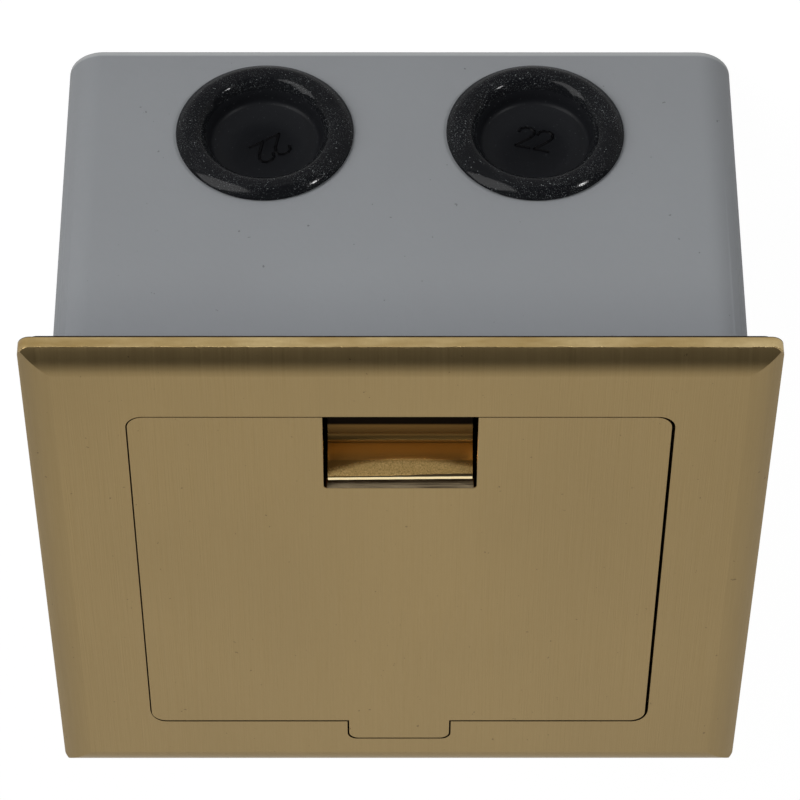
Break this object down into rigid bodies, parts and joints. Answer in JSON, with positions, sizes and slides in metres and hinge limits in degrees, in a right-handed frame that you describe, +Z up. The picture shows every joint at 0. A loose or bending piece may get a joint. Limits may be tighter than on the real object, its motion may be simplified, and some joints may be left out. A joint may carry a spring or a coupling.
{
  "type": "floor socket box",
  "caption": "Square pop-up floor socket box: brushed brass cover plate and hinged lid with finger latch over a grey back box with rubber cable grommets.",
  "frame": {"origin": "centre of the back box's flat bottom", "axes": "+Z up out of the floor through the cover plate, -Y to the side of the finger latch, X along the hinge"},
  "size_m": [0.12, 0.12, 0.0685],
  "materials": {
    "plate_brass": "brushed one way, satin",
    "latch_brass": "bright satin, lacquered",
    "box_grey": "smooth mid-grey coating, slightly satin",
    "gasket_rubber": "matt foam strip",
    "grommet_rubber": "satin moulded rubber",
    "contact_brass": "plain",
    "zinc_steel": "bright zinc plated sheet",
    "screw_steel": "zinc plated",
    "pin_steel": "ground",
    "spring_steel": "drawn wire",
    "damper_black": "moulded",
    "gear_nylon": "moulded",
    "panel_black": "fine moulded texture",
    "module_white": "gloss moulded"
  },
  "bodies": {
    "root": {"cover_plate": "plate_brass", "back_box": "box_grey", "floor_gasket": "gasket_rubber", "grommet_front_left": "grommet_rubber", "grommet_front_right": "grommet_rubber", "grommet_rear_left": "grommet_rubber", "grommet_rear_right": "grommet_rubber", "earth_terminal": "contact_brass", "inner_frame": "zinc_steel", "frame_screws": "screw_steel", "box_screws": "screw_steel", "lid_buffers": "grommet_rubber", "hinge_pin_left": "pin_steel", "hinge_pin_right": "pin_steel", "lid_spring_left": "spring_steel", "lid_spring_right": "spring_steel", "damper_body": "damper_black", "damper_screws": "screw_steel"},
    "lid": {"lid": "plate_brass", "lid_screws": "screw_steel", "cradle": "zinc_steel", "rear_shield": "panel_black", "socket_panel": "panel_black", "outlet_module": "module_white", "outlet_contacts": "contact_brass", "terminal_screws": "contact_brass", "blank_insert": "module_white", "latch_guide": "zinc_steel", "latch_springs": "spring_steel", "damper_sector": "gear_nylon", "sector_rivets": "pin_steel"},
    "latch": {"latch_slide": "latch_brass"},
    "damper_rotor": {"damper_pinion": "gear_nylon"}
  },
  "joints": [
    {"name": "lid_hinge", "type": "hinge", "parent": "root", "child": "lid", "pos_m": [0, 0.037, 0.0625], "axis": [-1, 0, 0], "range_deg": [0, 70], "deforming": ["lid_spring_left", "lid_spring_right"]},
    {"name": "latch_travel", "type": "slide", "parent": "lid", "child": "latch", "axis": [0, 1, 0], "range_m": [-0.0018, 0.0017], "stiffness_N_per_m": 250, "springref_m": -0.0018, "deforming": ["latch_springs"]},
    {"name": "damper_spin", "type": "hinge", "parent": "root", "child": "damper_rotor", "pos_m": [0, 0.03408, 0.04596], "axis": [-1, 0, 0], "range_deg": [-210, 0]}
  ],
  "couplings": [
    {"joint": "damper_spin", "follows": "lid_hinge", "ratio": -3}
  ]
}
